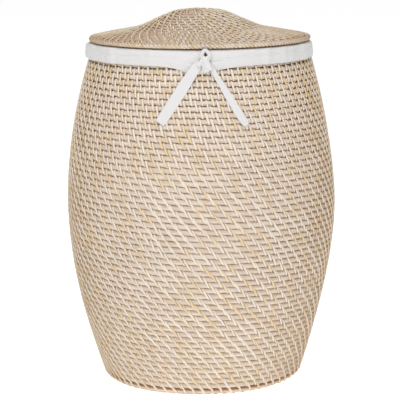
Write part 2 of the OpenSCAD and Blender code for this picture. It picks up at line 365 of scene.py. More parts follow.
def slow_waves(seed, count, turns, drift):
    """Makes a smooth wandering function of angle and row: a sum of sine waves of whole turns."""
    rng = np.random.default_rng(seed)
    times = rng.integers(1, turns + 1, count)
    drifts = rng.uniform(-drift, drift, count)
    starts = rng.uniform(0, TAU, count)
    weights = rng.uniform(0.5, 1.0, count) / math.sqrt(count)

    def wave(angle, row):
        angle, row = np.broadcast_arrays(angle, row)
        total = np.zeros(angle.shape)
        for time, rate, start, weight in zip(times, drifts, starts, weights):
            total += weight * np.sin(time * angle + rate * row + start)
        return total
    return wave


class Coil:
    """A run of cane rows: where each row's middle is, and how far the rows wander."""

    def __init__(self, middles, cane_r, waver, seed):
        self.middles = np.array(middles)
        self.cane_r = np.broadcast_to(cane_r, len(self.middles))
        self.waver = waver
        self.out_wave = slow_waves(seed, 6, 7, 0.25)
        self.up_wave = slow_waves(seed + 1, 6, 5, 0.2)
        self.swell_wave = slow_waves(seed + 2, 12, 60, 2.0)

    def shift(self, angle, row):
        """Small move outwards and upwards of the rows at an angle."""
        return (self.waver * self.out_wave(angle, row), self.waver * self.up_wave(angle, row))


CANE_SIDES = 10
WRAP_BENDS = 12


def add_cane(surface, coil, row, sections, side=1, washed=1.0):
    """Adds a row of round cane: a circle carried round the axis on a ring that wanders a little."""
    radius, z = coil.middles[row]
    angle = (np.arange(sections) * TAU / sections)[:, None]
    turn = (np.arange(CANE_SIDES) * TAU / CANE_SIDES)[None, :]
    out, up = coil.shift(angle, row)
    cane_r = coil.cane_r[row]
    thick = cane_r * (1 + 0.045 * coil.swell_wave(angle, row))
    points = round_axis(radius + out + thick * np.cos(turn), angle, z + up + thick * np.sin(turn))
    # crest: how far the surface faces out of its row pair; the cane finish paints unwashed cane and shade
    # into the grooves where it is low, further up the sides when washed is under 1.
    outward = pair_frame(coil, max(row, 1))[3] * side
    crest = outward[0] * np.cos(turn) + outward[1] * np.sin(turn)
    u = np.arange(sections + 1) * (TAU * max(radius, cane_r) / sections) + row * 1.7
    v = np.arange(CANE_SIDES + 1) * (TAU * cane_r / CANE_SIDES) + row * 0.31
    tone = 0.5 + 0.5 * np.sin(row * 2.4 + 0 * angle + 0 * turn)
    surface.add_grid(points, u=u, v=v, tone=tone,
                     crest=np.clip(washed * crest + 0 * angle, 0, 1))


def pair_frame(coil, row):
    """Middle, half distance, direction and outer side of the pair that a row makes with the last."""
    before, here = coil.middles[row - 1], coil.middles[row]
    middle = (before + here) / 2
    half = np.linalg.norm(here - before) / 2
    along = (here - before) / (2 * half)
    outward = np.array([along[1], -along[0]])
    return middle, half, along, outward


def lash_angles(radii, spacing, first_count, stagger, seed):
    """Angles of every row's lashings.

    Each stands part of the way between two of the row before, as brickwork does. Where they would
    stand further apart than the spacing, one more goes into the widest gap, and they even out."""
    rng = np.random.default_rng(seed)
    angles = np.arange(first_count) * TAU / first_count
    rows = []
    for radius, limit in zip(radii, spacing):
        angles = angles + stagger * (np.append(angles[1:], angles[0] + TAU) - angles)
        while TAU * radius / len(angles) > limit:
            gaps = np.append(angles[1:], angles[0] + TAU) - angles
            widest = int(np.argmax(gaps * rng.uniform(0.8, 1.0, len(gaps))))
            angles = np.insert(angles, widest + 1, angles[widest] + gaps[widest] / 2)
        for _ in range(3):
            before = np.append(angles[-1] - TAU, angles[:-1])
            after = np.append(angles[1:], angles[0] + TAU)
            angles = angles + 0.3 * ((before + after) / 2 - angles)
        rows.append(angles)
    return rows


# A lashing's bends: which coil it goes round (1 is the later row, -1 the earlier), and how far round
BEND_COIL = np.array([1, 1, 1, 0, -1, -1, -1, -1, 1])
BEND_TURN = np.radians([92, 50, 15, 0, -15, -50, -92, -155, 155])
OUTER_BENDS = 7
# The peel's outline: flat underneath and crowned on top, in widths and thicknesses
PEEL_OUTLINE = np.array([[-0.5, -0.5], [0.5, -0.5], [0.41, 0.3], [0.0, 0.55], [-0.41, 0.3]])


def add_lashing(surface, coil, row, angles, width, thickness, lean, side, order, seed):
    """Adds one row's lashing: a flat peel wound round two rows of cane like a flattened spring.

    Across, it follows two half circles joined by straight lines. Along, it slants over the outer
    side and comes back on the inner side, one space further on for each turn. order is 1 where it
    slants on the way to the earlier row, and -1 where it slants on the way to the later one."""
    rng = np.random.default_rng(seed * 1000 + row)
    middle, half, along, outward = pair_frame(coil, row)
    outward = outward * side
    wide = width * rng.uniform(0.86, 1.14, len(angles))
    thick = thickness * rng.uniform(0.85, 1.2, len(angles))
    tone = rng.uniform(0, 1, len(angles))
    gap = np.append(angles[1:], angles[0] + TAU) - angles
    angles = angles + gap * rng.uniform(-0.05, 0.05, len(angles))
    gap = np.append(angles[1:], angles[0] + TAU) - angles
    radius = middle[0]
    reach = coil.cane_r[row] + thickness * 0.62
    travel = reach * math.pi + 2 * half
    slant = np.tan(lean) * travel / radius * rng.uniform(0.88, 1.12, len(angles))
    slant = np.minimum(slant, 0.8 * gap)
    # Share of the slanting way done at each outer bend
    done = np.array([reach * (math.pi / 2 - t) if c == 1 else
                     travel / 2 if c == 0 else
                     travel - reach * (math.pi / 2 + t)
                     for c, t in zip(BEND_COIL[:OUTER_BENDS], BEND_TURN[:OUTER_BENDS])]) / travel
    outer = angles[:, None] + slant[:, None] * (done[None, :] - 0.5)
    next_slant = np.append(slant[1:], slant[0])
    back = gap - (slant + next_slant) / 2
    inner = (angles + slant / 2)[:, None] + back[:, None] * np.array([[0.33, 0.67]])
    angle = np.concatenate([outer, inner], axis=1)
    coil_side = BEND_COIL * order
    turn = BEND_TURN * order
    sag = np.where(BEND_COIL == 0, 0.25 * thickness, 0.0)
    across = (reach - sag) * np.cos(turn)
    down = coil_side * half + reach * np.sin(turn)
    place = middle[None, :] + across[:, None] * outward[None, :] + down[:, None] * along[None, :]
    bow = np.cos(turn)[:, None] * outward[None, :] + np.sin(turn)[:, None] * along[None, :]
    out, up = coil.shift(angle, row - 0.5 + down / (2 * half) * 0.5)
    points = round_axis(place[:, 0] + out, angle, place[:, 1] + up).reshape(-1, 3)
    normal = np.stack([bow[:, 0] * np.sin(angle), -bow[:, 0] * np.cos(angle),
                       np.broadcast_to(bow[:, 1], angle.shape)], axis=-1).reshape(-1, 3)
    tangent = unit(np.roll(points, -1, axis=0) - np.roll(points, 1, axis=0))
    flat = unit(np.cross(tangent, normal))
    normal = np.cross(flat, tangent)
    bends = len(BEND_TURN)
    size = np.repeat(np.stack([wide, thick], axis=-1), bends, axis=0)
    outline = PEEL_OUTLINE[None, :, :] * size[:, None, :]
    ring = points[:, None, :] + outline[..., :1] * flat[:, None, :] + outline[..., 1:] * normal[:, None, :]
    length = np.concatenate([[0], np.cumsum(np.linalg.norm(
        np.roll(points, -1, axis=0) - points, axis=1))]) + row * 0.9
    girth = np.concatenate([[0], np.cumsum(np.linalg.norm(
        np.roll(PEEL_OUTLINE, -1, axis=0) - PEEL_OUTLINE, axis=1))]) * width
    # crest is 1 on the outer face and 0 round the sides and back; the peel finish paints shade where it is
    # low.
    crest = np.tile(np.clip(np.cos(BEND_TURN), 0, 1), len(angles))[:, None]
    surface.add_grid(ring, u=length, v=girth, tone=np.repeat(tone, bends)[:, None], crest=crest)


def wall_radius(z, sizes):
    """Outer radius of the wall: the belly's, less a power of the height from the belly."""
    fall = (BELLY_R - RIM_R) / (RIM_Z - sizes.belly_z) ** sizes.belly_power
    return BELLY_R - fall * np.abs(z - sizes.belly_z) ** sizes.belly_power


def rows_along(radius, z, first, pitch, count):
    """Places a pitch apart along a curve of radius and height, from a distance along it."""
    length = np.concatenate([[0], np.cumsum(np.hypot(np.diff(radius), np.diff(z)))])
    stops = first + pitch * np.arange(count)
    return np.stack([np.interp(stops, length, radius), np.interp(stops, length, z)], axis=-1)


def basket_coil(sizes):
    """Rows of the whole basket: out along the base, round the foot and up the wall."""
    base_count = sizes.base_rows_in_length * len(BASE_NODES)
    base = [(k * BASE_PITCH, middle_z(BASE_NODES[0])) for k in range(base_count + 1)]
    foot_z = CANE_R + sizes.peel_thickness + sizes.pressed / 2 + 0.0005
    foot = [(half_width("foot_hoop") - CANE_R, foot_z)]
    z = np.linspace(sizes.first_row_z, RIM_Z, 4000)
    count = sizes.rows_in_length * len(WALL_NODES)
    wall = rows_along(wall_radius(z, sizes) - BASE_PITCH / 2, z, 0.0, BASE_PITCH, count)
    middles = np.concatenate([base, foot, wall])
    loose = np.clip((middles[:, 1] - 0.36) / (0.50 - 0.36), 0, 1)
    cane_r = BASE_PITCH / 2 + sizes.pressed * (0.5 - loose)
    return Coil(middles, cane_r, sizes.waver, 11), base_count


def eased(t):
    """Integral of a smooth step: 0 before it, t cubed less half of t to the fourth, then a line."""
    inside = np.clip(t, 0, 1)
    return inside ** 3 - inside ** 4 / 2 + np.maximum(t - 1, 0)


def lid_height(radius, lid):
    """Height of the lid's upper face: flat, then a slope, then a gentler brim, with eased bends."""
    fall = lid.slope_fall * lid.shoulder_w * eased((radius - lid.crown_r) / lid.shoulder_w)
    lift = (lid.slope_fall - lid.brim_fall) * lid.brim_curve_w * eased(
        (radius - lid.brim_start_r) / lid.brim_curve_w)
    return LID_TOP - fall + lift


def lid_coil(sizes, lid):
    """Rows of the lid from its middle out to the border hoop."""
    count = lid.rows_in_length * len(LID_NODES)
    pitch = height(LID_NODES[0])
    radius = np.linspace(0, half_width(LID_NODES[-1]), 4000)
    z = lid_height(radius, lid) - pitch / 2
    length = np.hypot(np.diff(radius), np.diff(z)).sum() - CANE_R * pitch / BASE_PITCH
    step = length / count
    middles = rows_along(radius, z, 0.0, step, count + 1)
    border = [(half_width("lid_border_wrap") - height("lid_border_wrap") / 2,
               middle_z("lid_border_wrap"))]
    return Coil(np.concatenate([middles, border]), step * lid.cane_share / 2,
                sizes.waver * 0.8, 41), count


# Materials

def new_material(name):
    """A material with a Principled shader and nothing else."""
    material = bpy.data.materials.new(name)
    material.use_nodes = True
    tree = material.node_tree
    tree.nodes.clear()
    shader = tree.nodes.new("ShaderNodeBsdfPrincipled")
    output = tree.nodes.new("ShaderNodeOutputMaterial")
    tree.links.new(shader.outputs["BSDF"], output.inputs["Surface"])
    return material, tree, shader


def group_tree(name, inputs, outputs):
    """An empty shader group with named sockets, and its two ends."""
    tree = bpy.data.node_groups.new(name, "ShaderNodeTree")
    for label, kind, value in inputs:
        socket = tree.interface.new_socket(label, in_out="INPUT", socket_type=kind)
        if value is not None:
            socket.default_value = value
    for label, kind in outputs:
        tree.interface.new_socket(label, in_out="OUTPUT", socket_type=kind)
    return tree, tree.nodes.new("NodeGroupInput"), tree.nodes.new("NodeGroupOutput")


def node(tree, kind, settings=None, **inputs):
    """Adds a node, sets its settings and fills its inputs with values or links."""
    made = tree.nodes.new(kind)
    for label, value in (settings or {}).items():
        setattr(made, label, value)
    for label, value in inputs.items():
        key = int(label[1:]) if label[0] == "i" and label[1:].isdigit() else label.replace("_", " ")
        socket = made.inputs[key]
        if isinstance(value, bpy.types.NodeSocket):
            tree.links.new(value, socket)
        else:
            socket.default_value = value
    return made


def mix_colour(tree, factor, a, b, blend="MIX"):
    """Mixes two colours."""
    made = tree.nodes.new("ShaderNodeMix")
    made.data_type = "RGBA"
    made.blend_type = blend
    for index, value in ((0, factor), (6, a), (7, b)):
        if isinstance(value, bpy.types.NodeSocket):
            tree.links.new(value, made.inputs[index])
        else:
            made.inputs[index].default_value = value
    return made.outputs[2]


def rgba(colour):
    """A colour with full cover."""
    return (colour[0], colour[1], colour[2], 1.0)


def fibre_group():
    """Long fibres: noise drawn out along U, as a grain mask and a height."""
    tree, start, end = group_tree(
        "Cane fibres",
        [("UV", "NodeSocketVector", None), ("Fineness", "NodeSocketFloat", 1.0)],
        [("Grain", "NodeSocketFloat"), ("Blotch", "NodeSocketFloat"), ("Height", "NodeSocketFloat")])
    mapping = node(tree, "ShaderNodeMapping", Vector=start.outputs["UV"], Scale=(60, 2600, 1))
    fine = node(tree, "ShaderNodeTexNoise", Vector=mapping.outputs[0],
                Scale=start.outputs["Fineness"], Detail=3.0, Roughness=0.6)
    wide = node(tree, "ShaderNodeMapping", Vector=start.outputs["UV"], Scale=(30, 160, 1))
    blotch = node(tree, "ShaderNodeTexNoise", Vector=wide.outputs[0], Scale=1.0, Detail=2.0)
    tree.links.new(fine.outputs["Fac"], end.inputs["Grain"])
    tree.links.new(blotch.outputs["Fac"], end.inputs["Blotch"])
    tree.links.new(fine.outputs["Fac"], end.inputs["Height"])
    return tree


def weave_group():
    """Plain cloth weave: threads over and under as crossed sine waves, with slubs."""
    tree, start, end = group_tree(
        "Plain weave",
        [("UV", "NodeSocketVector", None), ("Threads", "NodeSocketFloat", 1500.0)],
        [("Height", "NodeSocketFloat"), ("Slub", "NodeSocketFloat")])
    split = node(tree, "ShaderNodeSeparateXYZ", Vector=start.outputs["UV"])
    waves = []
    for axis in (0, 1):
        scaled = node(tree, "ShaderNodeMath", {"operation": "MULTIPLY"},
                      i0=split.outputs[axis], i1=start.outputs["Threads"])
        turned = node(tree, "ShaderNodeMath", {"operation": "MULTIPLY"},
                      i0=scaled.outputs[0], i1=TAU)
        waves.append(node(tree, "ShaderNodeMath", {"operation": "SINE"}, i0=turned.outputs[0]))
    crossed = node(tree, "ShaderNodeMath", {"operation": "MULTIPLY"},
                   i0=waves[0].outputs[0], i1=waves[1].outputs[0])
    stretch = node(tree, "ShaderNodeMapping", Vector=start.outputs["UV"], Scale=(260, 700, 1))
    slub = node(tree, "ShaderNodeTexNoise", Vector=stretch.outputs[0], Scale=1.0, Detail=2.0)
    lifted = node(tree, "ShaderNodeMath", {"operation": "MULTIPLY_ADD"},
                  i0=crossed.outputs[0], i1=0.35, i2=slub.outputs["Fac"])
    tree.links.new(lifted.outputs[0], end.inputs["Height"])
    tree.links.new(slub.outputs["Fac"], end.inputs["Slub"])
    return tree


def attribute(tree, name):
    """The value painted on a piece."""
    made = tree.nodes.new("ShaderNodeAttribute")
    made.attribute_name = name
    return made.outputs["Fac"]


def uv_of(tree):
    """The piece's own UV map."""
    return node(tree, "ShaderNodeUVMap", {"uv_map": "UVMap"}).outputs["UV"]


def smooth_range(tree, value, low, high, to_low=0.0, to_high=1.0):
    """Eases a value from one range to another."""
    made = tree.nodes.new("ShaderNodeMapRange")
    made.interpolation_type = "SMOOTHSTEP"
    tree.links.new(value, made.inputs["Value"])
    for label, number in (("From Min", low), ("From Max", high), ("To Min", to_low),
                          ("To Max", to_high)):
        made.inputs[label].default_value = number
    return made.outputs["Result"]


def place_group(tree, group, **inputs):
    """Puts a shared group into a material."""
    made = tree.nodes.new("ShaderNodeGroup")
    made.node_tree = group
    for label, value in inputs.items():
        socket = made.inputs[label]
        if isinstance(value, bpy.types.NodeSocket):
            tree.links.new(value, socket)
        else:
            socket.default_value = value
    return made


def bump(tree, height_socket, distance, strength=1.0):
    """A bump from a height in metres."""
    return node(tree, "ShaderNodeBump", Height=height_socket, Distance=distance,
                Strength=strength).outputs["Normal"]


def turned_away(tree, low, high, most):
    """How far a surface turns away from the eye, eased and kept under a largest value."""
    weight = node(tree, "ShaderNodeLayerWeight", Blend=0.5)
    return smooth_range(tree, weight.outputs["Facing"], low, high, 0.0, most)


def cane_material(colours, fibres):
    """Whitewashed round cane: pale wash on the crests, painted tan shade at the turn, and brown in the
    grooves, part unwashed cane and part painted shade.
    """
    material, tree, shader = new_material("Whitewashed cane")
    grain = place_group(tree, fibres, UV=uv_of(tree), Fineness=1.0)
    washed = mix_colour(tree, smooth_range(tree, grain.outputs["Blotch"], 0.35, 0.68),
                        rgba(colours.cane), rgba(colours.cane_pale))
    # Painted shade: tan where the surface turns from the eye, towards the sides.
    side_shaded = mix_colour(tree, turned_away(tree, 0.33, 0.76, 0.95), washed, rgba(colours.side_shade))
    streaked = mix_colour(tree, smooth_range(tree, grain.outputs["Grain"], 0.3, 0.75, 0.0, 0.22),
                          side_shaded, rgba(colours.groove_unwashed_and_shade))
    # Unwashed cane and painted shade in the grooves: brown where the cane faces away from the outside of
    # its row.
    colour = mix_colour(tree, smooth_range(tree, attribute(tree, "crest"), 0.05, 0.62),
                        rgba(colours.groove_unwashed_and_shade), streaked)
    tree.links.new(colour, shader.inputs["Base Color"])
    tree.links.new(smooth_range(tree, grain.outputs["Grain"], 0.2, 0.8, 0.5, 0.72),
                   shader.inputs["Roughness"])
    tree.links.new(bump(tree, grain.outputs["Height"], 0.00025), shader.inputs["Normal"])
    return material


def peel_material(colours, fibres):
    """Lashing peel: cream with a few golden strips, painted tan shade at the turn, and painted shade where
    it dives between the canes.
    """
    material, tree, shader = new_material("Lashing peel")
    grain = place_group(tree, fibres, UV=uv_of(tree), Fineness=1.3)
    tone = attribute(tree, "tone")
    shade = mix_colour(tree, smooth_range(tree, tone, 0.5, 1.0, 0.0, 0.85),
                       rgba(colours.peel), rgba(colours.peel_golden))
    pale = mix_colour(tree, smooth_range(tree, tone, 0.45, 0.0, 0.0, 0.5),
                      shade, rgba(colours.cane_pale))
    # Painted shade: tan where the peel turns from the eye, towards the sides.
    side_shaded = mix_colour(tree, turned_away(tree, 0.33, 0.76, 0.95), pale, rgba(colours.side_shade))
    streaked = mix_colour(tree, smooth_range(tree, grain.outputs["Grain"], 0.35, 0.75, 0.0, 0.14),
                          side_shaded, rgba(colours.groove_unwashed_and_shade))
    # Painted shade: brown where the peel goes round the sides of the cane and dives between the rows.
    colour = mix_colour(tree, smooth_range(tree, attribute(tree, "crest"), -0.15, 0.45),
                        rgba(colours.groove_unwashed_and_shade), streaked)
    tree.links.new(colour, shader.inputs["Base Color"])
    tree.links.new(smooth_range(tree, grain.outputs["Grain"], 0.2, 0.8, 0.38, 0.6),
                   shader.inputs["Roughness"])
    tree.links.new(bump(tree, grain.outputs["Height"], 0.00015), shader.inputs["Normal"])
    return material


def cotton_material(colours, weave, name, threads):
    """White cotton with a fine plain weave and slubs."""
    material, tree, shader = new_material(name)
    cloth = place_group(tree, weave, UV=uv_of(tree), Threads=threads)
    darker = tuple(0.96 * c for c in colours.cotton)
    colour = mix_colour(tree, smooth_range(tree, cloth.outputs["Slub"], 0.35, 0.7),
                        rgba(darker), rgba(colours.cotton))
    tree.links.new(colour, shader.inputs["Base Color"])
    shader.inputs["Roughness"].default_value = 0.9
    shader.inputs["Sheen Weight"].default_value = 0.15
    tree.links.new(bump(tree, cloth.outputs["Height"], 0.0002, 0.6), shader.inputs["Normal"])
    return material


def finish(name):
    """A finish of the basket, made with its shared groups the first time it's asked for."""
    if name in bpy.data.materials:
        return bpy.data.materials[name]
    colours = bpy.context.scene.basket_colours
    fibres = bpy.data.node_groups.get("Cane fibres") or fibre_group()
    weave = bpy.data.node_groups.get("Plain weave") or weave_group()
    if name == "Whitewashed cane":
        return cane_material(colours, fibres)
    if name == "Lashing peel":
        return peel_material(colours, fibres)
    if name == "White cotton":
        return cotton_material(colours, weave, name, 1500.0)
    if name == "Cotton tape":
        return cotton_material(colours, weave, name, 1100.0)
    raise KeyError(name)


# Cloth and tape

def smooth_path(points, step):
    """Evenly spaced points on a smooth curve through a few: a cubic through each four in turn."""
    points = np.array(points, dtype=float)
    ends = np.concatenate([[2 * points[0] - points[1]], points, [2 * points[-1] - points[-2]]])
    t = np.linspace(0, 1, 24, endpoint=False)[:, None]
    a, b, c, d = ends[:-3], ends[1:-2], ends[2:-1], ends[3:]
    pieces = 0.5 * (2 * b[:, None] + (c - a)[:, None] * t
                    + (2 * a - 5 * b + 4 * c - d)[:, None] * t ** 2
                    + (3 * b - a - 3 * c + d)[:, None] * t ** 3)
    fine = np.concatenate([pieces.reshape(-1, points.shape[1]), points[-1:]])
    length = np.concatenate([[0], np.cumsum(np.linalg.norm(np.diff(fine, axis=0), axis=1))])
    stops = np.linspace(0, length[-1], int(round(length[-1] / step)) + 1)
    return np.stack([np.interp(stops, length, column) for column in fine.T], axis=-1)


def grid_normals(points, wrap_rows):
    """Normals of an open or wrapped grid: the cross product of its two directions."""
    if wrap_rows:
        along = np.roll(points, -1, axis=0) - np.roll(points, 1, axis=0)
    else:
        along = np.gradient(points, axis=0)
    return unit(np.cross(along, np.gradient(points, axis=1)))


def add_cloth(surface, middle, thickness, wrap_rows=True, tone=0.5):
    """Adds a cloth: a grid moved half the thickness to each side and closed round its edges."""
    normal = grid_normals(middle, wrap_rows)
    front = middle + normal * thickness[..., None] / 2
    back = middle - normal * thickness[..., None] / 2
    ring = np.concatenate([front, back[:, ::-1]], axis=1)
    across = np.concatenate([[0], np.cumsum(np.linalg.norm(
        np.diff(middle.mean(axis=0) * 0 + middle[0], axis=0), axis=1))])
    along = np.linalg.norm(np.roll(middle, -1, axis=0) - middle, axis=2).max(axis=1)
    u = np.concatenate([[0], np.cumsum(along)])[:middle.shape[0] + wrap_rows]
    v = np.concatenate([across, across[::-1], [0.0]])
    surface.add_grid(ring, wrap_rows=wrap_rows, u=u, v=v, tone=tone, folded=True)


TAPE_SIDES = 32


def add_tape(surface, path, face, width, thickness, crease=0.0, crease_place=0.2, curl=0.0,
             wrap=False):
    """Adds a flat tape: a flattened round outline carried along a path, facing a given way.

    Its outline is a superellipse. A crease is a narrow dip along it, and a curl lifts both edges
    by the square of the way across."""
    tangent = (np.roll(path, -1, axis=0) - np.roll(path, 1, axis=0)) if wrap else np.gradient(
        path, axis=0)
    tangent = unit(tangent)
    across = unit(np.cross(tangent, face))
    normal = np.cross(across, tangent)
    turn = np.arange(TAPE_SIDES) * TAU / TAPE_SIDES
    q = np.sign(np.cos(turn)) * np.abs(np.cos(turn)) ** 0.55
    h = np.sign(np.sin(turn)) * np.abs(np.sin(turn)) ** 0.75
    width, thickness, crease, place, curl = (np.broadcast_to(x, len(path))[:, None] for x in (
        width, thickness, crease, crease_place, curl))
    bend = curl * q ** 2 - crease * np.exp(-((q - place) / 0.13) ** 2)
    ring = (path[:, None] + (q * width / 2)[..., None] * across[:, None]
            + (h * thickness / 2 + bend)[..., None] * normal[:, None])
    u = np.concatenate([[0], np.cumsum(np.linalg.norm(np.roll(path, -1, axis=0) - path, axis=1))])
    v = np.cumsum(np.abs(np.diff(np.append(q, q[0]), prepend=q[0]))) * float(width.mean()) / 2
    surface.add_grid(ring, wrap_rows=wrap, u=u[:len(path) + wrap], v=v)


def add_lump(surface, centre, half, tilt, seed, depth=0.0009):
    """Adds a lump of tied tape: an upright barrel with slanting creases cut into it.

    The creases are narrow dips across a slanting distance, bent by slow waves."""
    rng = np.random.default_rng(seed)
    up = np.linspace(-math.pi / 2, math.pi / 2, 34)[1:-1][:, None]
    turn = (np.arange(64) * TAU / 64)[None, :]
    x = np.sign(np.sin(turn)) * np.abs(np.sin(turn)) ** 0.85 * np.cos(up) ** 0.5
    y = -np.sign(np.cos(turn)) * np.abs(np.cos(turn)) ** 0.85 * np.cos(up) ** 0.5
    z = np.sin(up) + 0 * turn
    slant = x * rng.uniform(0.8, 1.2) + z * tilt
    dip = np.zeros_like(slant)
    for place in np.linspace(-1.1, 1.1, 7) + rng.uniform(-0.12, 0.12, 7):
        bent = slant - place + 0.08 * np.sin(3 * z + rng.uniform(0, TAU))
        dip += rng.uniform(0.5, 1.0) * np.exp(-(bent / 0.07) ** 2)
    scale = 1 - depth / half[1] * dip
    points = np.stack([x * half[0] * scale, y * half[1] * scale, z * half[2]], axis=-1) + centre
    surface.add_grid(points, wrap_rows=False)


def lie_radius(z, sizes):
    """Radius that a hanging end lies at: the wall's, easing out to the hem's."""
    low, high = HEM_LOW - 0.034, HEM_LOW - 0.004
    t = np.clip((z - low) / (high - low), 0, 1)
    ease = 3 * t ** 2 - 2 * t ** 3
    return wall_radius(z, sizes) + 0.0007 + ease * (HEM_R + 0.0013 - wall_radius(high, sizes))


def hanging_path(route, thickness, sizes):
    """Path of a hanging end from its route across and up, laid on the wall."""
    flat = smooth_path(route, 0.0016)
    radius = lie_radius(flat[:, 1], sizes) + thickness / 2
    return np.stack([flat[:, 0], -np.sqrt(radius ** 2 - flat[:, 0] ** 2), flat[:, 1]], axis=-1)


def outward(path):
    """Level directions away from the axis."""
    return unit(path * np.array([1.0, 1.0, 0.0]))


# Operators

class BASKET_OT_wall(bpy.types.Operator):
    """Builds the wall's cane rows and their lashing"""

    bl_idname = "basket.wall"
    bl_label = "Wall and base"

    def execute(self, context):
        sizes = context.scene.basket_sizes
        coil, base_count = basket_coil(sizes)
        spacing = [sizes.base_spacing if k <= base_count + 1 else sizes.wall_spacing
                   for k in range(1, len(coil.middles))]
        angles = lash_angles(coil.middles[1:, 0], spacing, 4, 0.52, 3)
        angles = [None] + angles
        groups = [(f"base_{i + 1}", name, range(1 + i * sizes.base_rows_in_length,
                                                1 + (i + 1) * sizes.base_rows_in_length))
                  for i, name in enumerate(BASE_NODES)]
        groups.append(("foot", "foot_hoop", range(base_count + 1, base_count + 2)))
        first = base_count + 2
        groups += [(f"wall_{i + 1:02d}", name,
                    range(first + i * sizes.rows_in_length, first + (i + 1) * sizes.rows_in_length))
                   for i, name in enumerate(WALL_NODES)]
        for label, stands_for, rows in groups:
            cane, lashing = Surface(), Surface()
            for row in rows:
                sections = int(np.clip(TAU * coil.middles[row, 0] / 0.0045, 16, 288))
                add_cane(cane, coil, row, sections)
                if row > 1:
                    z = coil.middles[row, 1]
                    ease = np.clip((z - 0.33) / (0.52 - 0.33), 0, 1)
                    lean = sizes.lean + (sizes.rim_lean - sizes.lean) * ease
                    add_lashing(lashing, coil, row, angles[row], sizes.peel_width,
                                sizes.peel_thickness, lean, 1, 1, 7)
            piece = cane.build(label + "_cane", finish("Whitewashed cane"), "cane", "basket")
            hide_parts(stands_for)
            lashing.build(label + "_lashing", finish("Lashing peel"), "peel", "basket")
        return {"FINISHED"}


def add_hoop(surface, radius, z, thick, sections, seed):
    """Adds a round hoop about the axis."""
    coil = Coil([(radius, z), (radius, z + 0.001)], thick, 0.0, seed)
    add_cane(surface, coil, 0, sections)


def add_wrap(surface, radius, z, reach, thickness, spacing, slant, seed):
    """Adds a peel wound round a hoop: a spring of one turn per space, closed on itself.

    Its way round the axis swings by the sine of the turn, so that it crosses the outer side at a
    slant from upright and comes back on the inner side."""
    rng = np.random.default_rng(seed)
    count = int(TAU * radius / spacing)
    total = count * WRAP_BENDS
    step = np.arange(total)
    turn = step / WRAP_BENDS * TAU
    swing = reach * math.tan(slant) / radius
    angle = step / total * TAU + swing * np.sin(turn)
    wide = np.repeat(spacing * math.cos(slant) * rng.uniform(0.84, 1.0, count), WRAP_BENDS)
    points = round_axis(radius + reach * np.cos(turn), angle, z - reach * np.sin(turn))
    normal = np.stack([np.cos(turn) * np.sin(angle), -np.cos(turn) * np.cos(angle), -np.sin(turn)],
                      axis=-1)
    tangent = unit(np.roll(points, -1, axis=0) - np.roll(points, 1, axis=0))
    flat = unit(np.cross(tangent, normal))
    normal = np.cross(flat, tangent)
    outline = PEEL_OUTLINE[None] * np.stack([wide, np.full(total, thickness)], -1)[:, None, :]
    ring = points[:, None] + outline[..., :1] * flat[:, None] + outline[..., 1:] * normal[:, None]
    length = np.arange(total + 1) * (TAU * reach / WRAP_BENDS)
    girth = np.arange(len(PEEL_OUTLINE) + 1) * spacing / 2
    tone = np.repeat(rng.uniform(0, 1, count), WRAP_BENDS)[:, None]
    surface.add_grid(ring, u=length, v=girth, tone=tone, crest=0.25)


class BASKET_OT_rim(bpy.types.Operator):
    """Builds the rim hoop and the peel wound round it"""

    bl_idname = "basket.rim"
    bl_label = "Rim"

    def execute(self, context):
        sizes = context.scene.basket_sizes
        radius = RIM_R - height("rim_wrap") / 2
        hoop_r = height("rim_hoop") / 2
        hoop = Surface()
        add_hoop(hoop, radius, RIM_Z, hoop_r, 240, 5)
        piece = hoop.build("rim_cane", finish("Whitewashed cane"), "cane", "basket")
        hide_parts("rim_hoop")
        wrap = Surface()
        reach = hoop_r + sizes.peel_thickness * 0.6
        add_wrap(wrap, radius, RIM_Z, reach, sizes.peel_thickness, 0.0047, 0.0, 6)
        piece = wrap.build("rim_winding", finish("Lashing peel"), "peel", "basket")
        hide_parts("rim_wrap")
        return {"FINISHED"}


def add_start(surface, z, radius, thick):
    """Adds the button that a coil starts from: a flattened ball with its two poles on the axis."""
    turn = np.linspace(-math.pi / 2, math.pi / 2, 9)[1:-1][:, None]
    angle = (np.arange(24) * TAU / 24)[None, :]
    points = round_axis(radius * np.cos(turn), angle, z + thick * np.sin(turn))
    surface.add_grid(points, wrap_rows=False, tone=0.3, crest=1.0 + 0 * turn)


class BASKET_OT_starts(bpy.types.Operator):
    """Builds the buttons that the base and the lid start from"""

    bl_idname = "basket.starts"
    bl_label = "Start knots"

    def execute(self, context):
        for stands_for, body in (("base_start_knot", "basket"), ("lid_start_knot", "lid")):
            surface = Surface()
            add_start(surface, middle_z(stands_for), half_width(stands_for),
                      height(stands_for) / 2)
            piece = surface.build(stands_for + "_button", finish("Lashing peel"), "peel", body)
            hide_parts(stands_for)
        return {"FINISHED"}


